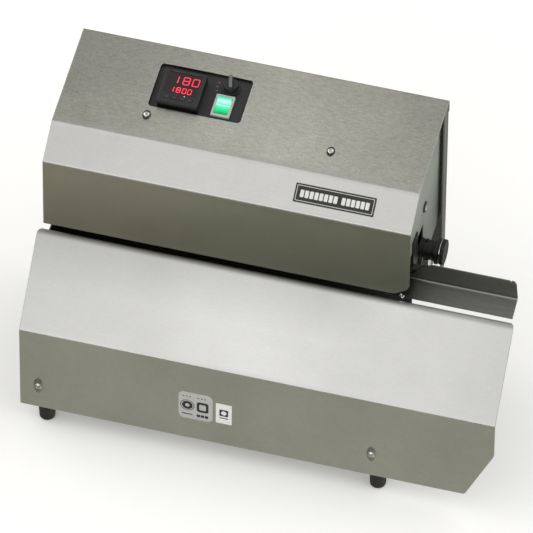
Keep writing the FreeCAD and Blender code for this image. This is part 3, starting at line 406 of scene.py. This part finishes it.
# painted shadow and reflection: a darkened steel for the oval cups round the front screws
SHADOW_CUP_STEEL = steel("cup_steel_painted_shadow", (0.34, 0.34, 0.31), 0.30, 0.06, 0.06, (60, 60, 60), 0.0004, 0.0, 0.05)
RED_LED = glowing("digit_red", (0.70, 0.010, 0.040), (1.0, 0.03, 0.085), 1.45)
GREEN_DOT = glowing("lamp_green", (0.12, 0.45, 0.30), (0.2, 0.6, 0.4), 0.6)

for name, node in frame["nodes"].items():
    slot = next(s["material_slot"] for s in frame["record"]["subparts"] if s["node"] == name)
    node.data.materials.clear()
    node.data.materials.append(VARIANTS.get(name, MATS[slot]))


# ------------------------------------------------------------------ piece helpers
def add_mesh(name, bm, mat, body="machine", smooth=False):
    me = bpy.data.meshes.new(name)
    bmesh.ops.recalc_face_normals(bm, faces=bm.faces[:])
    bm.to_mesh(me)
    bm.free()
    ob = bpy.data.objects.new(name, me)
    bpy.context.scene.collection.objects.link(ob)
    me.materials.append(mat)
    if smooth:
        for p in me.polygons:
            p.use_smooth = True
    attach(ob, body)
    return ob


def add_plate(bm, pts, place, h0, h1):
    """Thin prism: pts are (u, v) in mm on a face, place maps (u, v, h) to the frame."""
    low = [bm.verts.new(place(u, v, h0)) for u, v in pts]
    top = [bm.verts.new(place(u, v, h1)) for u, v in pts]
    bm.faces.new(low[::-1])
    bm.faces.new(top)
    n = len(pts)
    for i in range(n):
        bm.faces.new((low[i], low[(i + 1) % n], top[(i + 1) % n], top[i]))


def rect(u0, u1, v0, v1):
    return [(u0, v0), (u1, v0), (u1, v1), (u0, v1)]


def round_rect(u0, u1, v0, v1, r, n=5):
    out = []
    corners = ((u1 - r, v0 + r, -90), (u1 - r, v1 - r, 0), (u0 + r, v1 - r, 90), (u0 + r, v0 + r, 180))
    for cu, cv, a0 in corners:
        for i in range(n + 1):
            a = math.radians(a0 + 90 * i / n)
            out.append((cu + r * math.cos(a), cv + r * math.sin(a)))
    return out


def ring(bm, cu, cv, r0, r1, place, h0, h1, a0=0, a1=360, n=40):
    """Flat ring or arc on a face."""
    closed = abs(a1 - a0) >= 360
    count = n if closed else n + 1
    grid = []
    for i in range(count):
        a = math.radians(a0 + (a1 - a0) * i / n)
        c, s = math.cos(a), math.sin(a)
        grid.append([bm.verts.new(place(cu + r * c, cv + r * s, h)) for r, h in
                     ((r0, h0), (r1, h0), (r1, h1), (r0, h1))])
    for i in range(n):
        a, b = grid[i], grid[(i + 1) % count]
        for j in range(4):
            bm.faces.new((a[j], b[j], b[(j + 1) % 4], a[(j + 1) % 4]))
    if not closed:
        bm.faces.new(grid[0])
        bm.faces.new(grid[-1][::-1])


def disc(bm, cu, cv, r, place, h0, h1, n=24):
    add_plate(bm, [(cu + r * math.cos(2 * math.pi * i / n), cv + r * math.sin(2 * math.pi * i / n))
                   for i in range(n)], place, h0, h1)


def tube_along(name, pts, r, mat, body="machine", res=4):
    """Round wire through points given in the frame."""
    cu = bpy.data.curves.new(name, "CURVE")
    cu.dimensions = "3D"
    cu.bevel_depth = r
    cu.bevel_resolution = res
    cu.use_fill_caps = True
    sp = cu.splines.new("BEZIER")
    sp.bezier_points.add(len(pts) - 1)
    for bp, p in zip(sp.bezier_points, pts):
        bp.co = p
        bp.handle_left_type = bp.handle_right_type = "AUTO"
    cu.materials.append(mat)
    ob = bpy.data.objects.new(name, cu)
    bpy.context.scene.collection.objects.link(ob)
    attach(ob, body)
    return ob


# ------------------------------------------------------------------ controller display: seven-segment figures
SEGMENTS = {"0": "abcdef", "1": "bc", "8": "abcdefg"}


def figure(bm, char, u, v, w, h, t, place, h0, h1, lean=0.0):
    """One seven-segment figure whose lower left corner is (u, v)."""
    m = h / 2
    g = t * 0.12
    runs = {
        "a": ((t * .5 + g, h - t * .5), (w - t * .5 - g, h - t * .5)),
        "g": ((t * .5 + g, m), (w - t * .5 - g, m)),
        "d": ((t * .5 + g, t * .5), (w - t * .5 - g, t * .5)),
        "b": ((w - t * .5, m + g), (w - t * .5, h - t * .5 - g)),
        "c": ((w - t * .5, t * .5 + g), (w - t * .5, m - g)),
        "f": ((t * .5, m + g), (t * .5, h - t * .5 - g)),
        "e": ((t * .5, t * .5 + g), (t * .5, m - g)),
    }
    for seg in SEGMENTS[char]:
        (ax, ay), (bx, by) = runs[seg]
        length = math.hypot(bx - ax, by - ay)
        dx, dy = (bx - ax) / length, (by - ay) / length
        nx, ny = -dy * t / 2, dx * t / 2
        q = t / 2
        pts = [(ax, ay), (ax + dx * q + nx, ay + dy * q + ny), (bx - dx * q + nx, by - dy * q + ny), (bx, by),
               (bx - dx * q - nx, by - dy * q - ny), (ax + dx * q - nx, ay + dy * q - ny)]
        add_plate(bm, [(u + px + lean * py, v + py) for px, py in pts][::-1], place, h0, h1)


WIN_H = 10.0 - 0.5
bm = bmesh.new()
for char, u in (("1", 120.0), ("8", 133.2), ("0", 144.2)):
    figure(bm, char, u, 75.6, 8.0, 10.8, 1.0, roof, WIN_H, WIN_H + 0.12, 0.04)
for char, u in (("1", 121.2), ("8", 128.8), ("0", 135.7), ("0", 142.0)):
    figure(bm, char, u, 63.4, 4.8, 7.6, 0.85, roof, WIN_H, WIN_H + 0.12, 0.04)
add_mesh("display_figures", bm, RED_LED)

bm = bmesh.new()
disc(bm, 140.6, 59.6, 0.75, roof, 10.0, 10.08)
add_mesh("display_lamp_green", bm, GREEN_DOT)
bm = bmesh.new()
disc(bm, 131.2, 59.6, 0.6, roof, 10.0, 10.06)
for i in range(4):
    ku = 134.5 - 13.5 + 9.0 * i
    add_plate(bm, rect(ku - 1.2, ku + 1.2, 51.0, 51.5), roof, 10.0, 10.06)
add_plate(bm, rect(119.0, 133.0, 91.6, 92.1), roof, 10.0, 10.06)
add_plate(bm, rect(137.0, 150.0, 91.6, 92.1), roof, 10.0, 10.06)
add_mesh("controller_print", bm, PRINT_DIM)

# marks on the four keys: two bars, arrow left, arrow down, arrow up
KEY_H = 10.0 + 0.4
marks = {
    1: [rect(-1.2, 1.2, 0.15, 0.5), rect(-1.2, 1.2, -0.5, -0.15)],
    2: [[(-0.9, 0), (0.6, -0.8), (0.6, 0.8)]],
    3: [[(0, -0.8), (0.9, 0.6), (-0.9, 0.6)]],
    4: [[(0, 0.8), (-0.9, -0.6), (0.9, -0.6)]],
}
for i, shapes in marks.items():
    bm = bmesh.new()
    ku, kv = 134.5 - 13.5 + 9.0 * (i - 1), 71.5 - 16.0
    for pts in shapes:
        add_plate(bm, [(ku + u, kv + v) for u, v in pts], roof, KEY_H, KEY_H + 0.05)
    add_mesh(f"key_mark_{i}", bm, PRINT_DIM, f"key_{i}")

# ------------------------------------------------------------------ dial: scale, ribs, pointer
KX, KS, TURN = 186.5, 91.5, math.radians(14.0)


def turned(u, v):
    return KX + u * math.cos(TURN) - v * math.sin(TURN), KS + u * math.sin(TURN) + v * math.cos(TURN)


def radial_bar(bm, a, r0, r1, w, h0, h1):
    c, s = math.cos(a), math.sin(a)
    add_plate(bm, [(KX + r0 * c + w * s, KS + r0 * s - w * c), (KX + r1 * c + w * s, KS + r1 * s - w * c),
                   (KX + r1 * c - w * s, KS + r1 * s + w * c), (KX + r0 * c - w * s, KS + r0 * s + w * c)],
              roof, h0, h1)


bm = bmesh.new()
for deg in (160, 180, 200):
    radial_bar(bm, math.radians(deg), 15.2, 17.6, 0.4, -4.0, -3.93)
add_mesh("dial_scale", bm, PRINT_GREY)
bm = bmesh.new()
for deg in (140, 120, 60, 40, 20, 0, -20):
    radial_bar(bm, math.radians(deg), 13.0, 14.6, 0.28, -4.0, -3.95)
add_mesh("dial_scale_faint", bm, PRINT_DIM)

bm = bmesh.new()
add_plate(bm, [turned(u, v) for u, v in round_rect(-1.7, 1.7, -7.8, 8.8, 1.2)], roof, 11.0, 11.1)
add_plate(bm, [turned(u, v) for u, v in rect(-0.4, 0.4, 9.3, 9.6)], roof, 0.6, 10.4)
add_mesh("dial_pointer", bm, MID_GREY, "dial")
bm = bmesh.new()
add_plate(bm, [turned(u, v) for u, v in rect(-2.3, -2.05, -6.4, 7.4)], roof, 6.6, 10.6)
add_mesh("dial_insert", bm, MID_GREY, "dial")

bm = bmesh.new()
for i in range(36):
    radial_bar(bm, 2 * math.pi * i / 36, 7.9, 8.6, 0.34, -0.7, 5.8)
add_mesh("dial_ribs", bm, MATS["black_plastic"], "dial")

# ------------------------------------------------------------------ name plate and stickers
bm = bmesh.new()
outer, inner = round_rect(294.2, 384.7, 13.4, 31.6, 0.6), round_rect(294.9, 384.0, 14.1, 30.9, 0.4)
lo_o = [bm.verts.new(facet(u, v, 0.5)) for u, v in outer]
lo_i = [bm.verts.new(facet(u, v, 0.5)) for u, v in inner]
hi_o = [bm.verts.new(facet(u, v, 0.6)) for u, v in outer]
hi_i = [bm.verts.new(facet(u, v, 0.6)) for u, v in inner]
for i in range(len(outer)):
    j = (i + 1) % len(outer)
    bm.faces.new((hi_o[i], hi_o[j], hi_i[j], hi_i[i]))
    bm.faces.new((lo_o[i], lo_o[j], hi_o[j], hi_o[i]))
    bm.faces.new((lo_i[j], lo_i[i], hi_i[i], hi_i[j]))
    bm.faces.new((lo_o[j], lo_o[i], lo_i[i], lo_i[j]))
add_mesh("name_plate_frame", bm, SILVER_LINE)

# two even rows of plain bars stand where a real plate carries its print
bm = bmesh.new()
for i in range(8):
    add_plate(bm, round_rect(299.0 + 5.6 * i, 303.4 + 5.6 * i, 18.0, 26.5, 0.9), facet, 0.5, 0.58)
for i in range(6):
    add_plate(bm, round_rect(347.5 + 5.6 * i, 351.9 + 5.6 * i, 18.0, 26.5, 0.9), facet, 0.5, 0.58)
add_mesh("name_plate_blocks", bm, PAINT_WHITE)

# plain shapes on the two front stickers
bm = bmesh.new()
disc(bm, 195.4, 81.0, 6.4, front, 0.25, 0.31, 32)
ring(bm, 195.4, 81.0, 7.6, 8.4, front, 0.25, 0.31)
add_plate(bm, round_rect(206.6, 220.6, 73.0, 89.0, 3.2), front, 0.25, 0.31)
for x in (206.6, 211.4, 216.2):
    add_plate(bm, round_rect(x, x + 4.0, 64.6, 68.6, 0.8), front, 0.25, 0.31)
add_plate(bm, rect(189.0, 201.5, 66.0, 67.4), front, 0.25, 0.31)
for x in (189.5, 193.5, 197.5, 207.5, 211.5, 215.5):
    add_plate(bm, rect(x, x + 2.2, 94.6, 95.8), front, 0.25, 0.31)
add_mesh("silver_sticker_signs", bm, INK_AND_SHADE)
bm = bmesh.new()
disc(bm, 195.4, 81.0, 2.6, front, 0.31, 0.36, 24)
add_plate(bm, round_rect(209.6, 217.6, 76.5, 85.5, 1.6), front, 0.31, 0.36)
add_mesh("silver_sticker_lights", bm, MATS["label_silver"])

bm = bmesh.new()
add_plate(bm, round_rect(233.6, 244.0, 74.0, 84.5, 1.2), front, 0.25, 0.31)
add_plate(bm, rect(233.6, 244.0, 70.2, 71.6), front, 0.25, 0.31)
add_mesh("white_sticker_signs", bm, INK_AND_SHADE)
bm = bmesh.new()
disc(bm, 238.8, 79.2, 3.3, front, 0.31, 0.36, 24)
add_mesh("white_sticker_lights", bm, MATS["label_white"])

# ------------------------------------------------------------------ cup-shaped collars round the cover screws, carrying painted shadow and reflection
def cup(bm, cu, cv, place, inner, outer, top, n=36):
    """Oval collar round a screw head; inner and outer are (half width, half height)."""
    grid = []
    for i in range(n):
        c, k = math.cos(2 * math.pi * i / n), math.sin(2 * math.pi * i / n)
        crest = ((inner[0] + outer[0]) / 2, (inner[1] + outer[1]) / 2, top)
        prof = ((*outer, 0.0), (*outer, top * 0.35), crest, (*inner, top), (*inner, 0.0))
        grid.append([bm.verts.new(place(cu + a * c, cv + b * k, h)) for a, b, h in prof])
    for i in range(n):
        a, b = grid[i], grid[(i + 1) % n]
        for q in range(5):
            bm.faces.new((a[q], b[q], b[(q + 1) % 5], a[(q + 1) % 5]))


ROOF_SCREWS = (103.2, 320.2)
FRONT_SCREWS = (17.0, 414.0)

# painted shadow and reflection: dark cups round the roof and side screws and dark rings round the front
# screws
bm = bmesh.new()
for x in ROOF_SCREWS:
    cup(bm, x, 32.0, roof, (2.7, 4.1), (4.8, 6.3), 2.35)
cup(bm, 89.0, 298.0, lambda u, v, h: mm(426.5 + h, u, v), (4.0, 4.3), (7.0, 7.2), 1.9)
cup(bm, 89.0, 298.0, lambda u, v, h: mm(6.5 - h, u, v), (4.0, 4.3), (7.0, 7.2), 1.9)
for x in FRONT_SCREWS:
    ring(bm, x, 61.5, 4.6, 4.95, front, 0.0, 0.9, n=36)
add_mesh("screw_shadow_rings", bm, INK_AND_SHADE)
# painted shadow and reflection: oval cups of darkened steel round the front screws
bm = bmesh.new()
for x in FRONT_SCREWS:
    cup(bm, x, 62.5, front, (3.9, 4.6), (5.4, 11.6), 1.5)
add_mesh("front_screw_shadow_cups", bm, SHADOW_CUP_STEEL)

# ------------------------------------------------------------------ small wire clips in the slot
tube_along("infeed_clip",
           [mm(421, 3.0, 237.2), mm(423.5, 1.2, 241.5), mm(424.6, 0.4, 237.0), mm(427.0, 2.0, 239.5)],
           0.0008, MATS["screw_steel"])
tube_along("slot_clip", [mm(36.0, 6.0, 237.4), mm(39.0, 4.6, 239.6), mm(42.5, 5.2, 238.2)],
           0.0007, MATS["screw_steel"])

# ------------------------------------------------------------------ painted shade: dark plates in the screws' cross recesses
def cross(bm, cu, cv, place, top, arm=2.15, half=0.5):
    add_plate(bm, rect(cu - arm, cu + arm, cv - half, cv + half), place, top - 1.2, top - 0.3)
    add_plate(bm, rect(cu - half, cu + half, cv - arm, cv + arm), place, top - 1.2, top - 0.3)


bm = bmesh.new()
for x in ROOF_SCREWS:
    cross(bm, x, 32.0, roof, 2.6)
for x in FRONT_SCREWS:
    cross(bm, x, 60.9, front, 2.89, 2.9, 1.05)
cross(bm, 89.0, 298.0, lambda u, v, h: mm(426.5 + h, u, v), 2.6)
cross(bm, 89.0, 298.0, lambda u, v, h: mm(6.5 - h, u, v), 2.6)
add_mesh("screw_recess_shade", bm, INK_AND_SHADE)

# ------------------------------------------------------------------ wiring inside
RED_WIRE = plain("wire_red", (0.35, 0.02, 0.02), 0.45, edge=0.0)
BLACK_WIRE = plain("wire_black", (0.015, 0.015, 0.015), 0.5, edge=0.0)
BLUE_WIRE = plain("wire_blue", (0.02, 0.06, 0.30), 0.45, edge=0.0)
runs = [
    ("wire_motor_1", [mm(62, 155, 186), mm(90, 157, 150), mm(150, 140, 70), mm(205, 120, 78)], RED_WIRE),
    ("wire_motor_2", [mm(54, 155, 186), mm(86, 158, 145), mm(146, 144, 64), mm(205, 126, 78)], BLACK_WIRE),
    ("wire_inlet_1", [mm(322, 141, 88), mm(318, 125, 80), mm(304, 118, 60), mm(296, 120, 54)], BLUE_WIRE),
    ("wire_inlet_2", [mm(334, 141, 88), mm(330, 122, 84), mm(308, 112, 62), mm(296, 130, 54)], BLACK_WIRE),
    ("wire_heat_1",
     [mm(104, 47, 246.9), mm(96, 52, 240), mm(96, 70, 200), mm(150, 100, 110), mm(285, 128, 54)], RED_WIRE),
    ("wire_heat_2",
     [mm(104, 47, 230.7), mm(92, 52, 222), mm(100, 72, 180), mm(160, 104, 100), mm(290, 136, 54)], RED_WIRE),
    ("wire_panel_1", [mm(134, 122, 318), mm(136, 128, 290), mm(190, 120, 150), mm(262, 120, 58)], BLACK_WIRE),
    ("wire_panel_2", [mm(184, 120, 358), mm(190, 126, 300), mm(215, 118, 140), mm(266, 116, 58)], BLUE_WIRE),
]
for name, pts, mat in runs:
    tube_along(name, pts, 0.0011, mat, res=2)

# ------------------------------------------------------------------ studio
KEY_W, TOP_W, SIDE_W = 3, 8, 42             # power of the lights, W
SIDE_SIZE = 3.4                              # large side lights, so that the steel is not burnt out
floor_me = bpy.data.meshes.new("floor")
floor_me.from_pydata([(-6, -6, 0), (6, -6, 0), (6, 6, 0), (-6, 6, 0)], [], [(0, 1, 2, 3)])
floor = bpy.data.objects.new("floor", floor_me)
bpy.context.scene.collection.objects.link(floor)
floor.location.z = -0.0001
fmat, ftree, fbsdf = new_material("floor_paper")
fn = noise(ftree, coords(ftree, (1, 1, 1)), 400.0, 2.0, 0.5)
paper = ramp(ftree, fn, [(0.3, (0.90, 0.90, 0.90)), (0.7, (0.92, 0.92, 0.92))])
ftree.links.new(paper, fbsdf.inputs["Base Color"])
fbsdf.inputs["Roughness"].default_value = 0.9
fbsdf.inputs["Specular IOR Level"].default_value = 0.1
fbsdf.inputs["Emission Color"].default_value = (1, 1, 1, 1)
fbsdf.inputs["Emission Strength"].default_value = 0.15
floor_me.materials.append(fmat)
floor.visible_glossy = False

world = bpy.data.worlds.new("studio")
bpy.context.scene.world = world
world.use_nodes = True
wt = world.node_tree
wt.nodes.clear()
wout = wt.nodes.new("ShaderNodeOutputWorld")
bg = wt.nodes.new("ShaderNodeBackground")
wt.links.new(bg.outputs[0], wout.inputs[0])
wtc = wt.nodes.new("ShaderNodeTexCoord")


def lobe(direction, power, gain):
    d = Vector(direction).normalized()
    dot = wt.nodes.new("ShaderNodeVectorMath")
    dot.operation = "DOT_PRODUCT"
    wt.links.new(wtc.outputs["Generated"], dot.inputs[0])
    dot.inputs[1].default_value = d
    pos = mathn(wt, "MAXIMUM", dot.outputs["Value"], 0.0)
    return mathn(wt, "MULTIPLY", mathn(wt, "POWER", pos, power), gain)


wsep = wt.nodes.new("ShaderNodeSeparateXYZ")
wt.links.new(wtc.outputs["Generated"], wsep.inputs[0])
WARM_LOW, WARM_TOP = (1.0, 0.985, 0.865), (1.0, 0.985, 0.925)
LEVELS = [(-1.0, 0.44, WARM_LOW), (-0.7, 0.385, WARM_LOW), (-0.30, 0.17, WARM_LOW), (0.0, 0.12, WARM_LOW),
          (0.20, 0.36, WARM_TOP), (0.5, 0.52, WARM_TOP), (1.0, 0.56, WARM_TOP)]
sky = ramp(wt, remap(wt, wsep.outputs["Z"], 0.0, 1.0, -1.0, 1.0),
           [((z + 1) / 2, tuple(v * c for c in tint)) for z, v, tint in LEVELS])
bright = mathn(wt, "ADD", lobe((-0.2, -0.82, 0.53), 5.0, 0.52), lobe((-0.19, -0.95, 0.24), 30.0, 1.25))
bright = mathn(wt, "ADD", bright, lobe((0.3, 0.7, -0.65), 5.0, 0.25))
bright = mathn(wt, "ADD", bright, lobe((0.75, -0.2, -0.6), 6.0, 0.50))
comb = wt.nodes.new("ShaderNodeCombineColor")
for k in range(3):
    wt.links.new(bright, comb.inputs[k])
total = wt.nodes.new("ShaderNodeVectorMath")
total.operation = "ADD"
wt.links.new(sky, total.inputs[0])
wt.links.new(comb.outputs[0], total.inputs[1])
wt.links.new(total.outputs["Vector"], bg.inputs["Color"])
bg.inputs["Strength"].default_value = 1.0


def area(name, loc, target, size, power, colour=(1, 1, 1), size_y=None):
    li = bpy.data.lights.new(name, "AREA")
    li.energy = power
    li.color = colour
    li.shape = "RECTANGLE"
    li.size = size
    li.size_y = size_y or size
    ob = bpy.data.objects.new(name, li)
    bpy.context.scene.collection.objects.link(ob)
    ob.location = loc
    ob.rotation_euler = (Vector(target) - Vector(loc)).to_track_quat("-Z", "Y").to_euler()
    return ob


area("key", (-1.2, -1.6, 2.6), (0, 0, 0.1), 1.8, KEY_W)
area("top", (0.9, 1.4, 2.6), (0, 0, 0.1), 1.6, TOP_W)
area("right", (2.6, -0.3, 1.9), (0, 0, 0.1), SIDE_SIZE, SIDE_W)
area("left", (-2.8, 0.2, 1.7), (0, 0, 0.1), SIDE_SIZE, SIDE_W)

# ------------------------------------------------------------------ camera
AZ, EL, ROLL = math.radians(15.23), math.radians(45.02), math.radians(-0.532)
DIST = 10.401
SENSOR = 36.0
LENS = 9138.0 / 533.0 * SENSOR
target = mm(264.97, 0.0, 242.5 + 0.87)
right = Vector((math.cos(AZ), math.sin(AZ), 0))
up = Vector((-math.sin(AZ) * math.sin(EL), math.cos(AZ) * math.sin(EL), math.cos(EL)))
back = Vector((math.sin(AZ) * math.cos(EL), -math.cos(AZ) * math.cos(EL), math.sin(EL)))
cr, sr = math.cos(ROLL), math.sin(ROLL)
cam_x = right * cr - up * sr
cam_y = right * sr + up * cr
cam = bpy.data.cameras.new("camera")
cam.sensor_width = SENSOR
cam.lens = LENS
cam.clip_start, cam.clip_end = 0.1, 100.0
cam_ob = bpy.data.objects.new("camera", cam)
bpy.context.scene.collection.objects.link(cam_ob)
m = Matrix((cam_x, cam_y, back)).transposed().to_4x4()
m.translation = target + back * DIST
cam_ob.matrix_world = m
bpy.context.scene.camera = cam_ob
bpy.context.scene.view_settings.view_transform = "Standard"
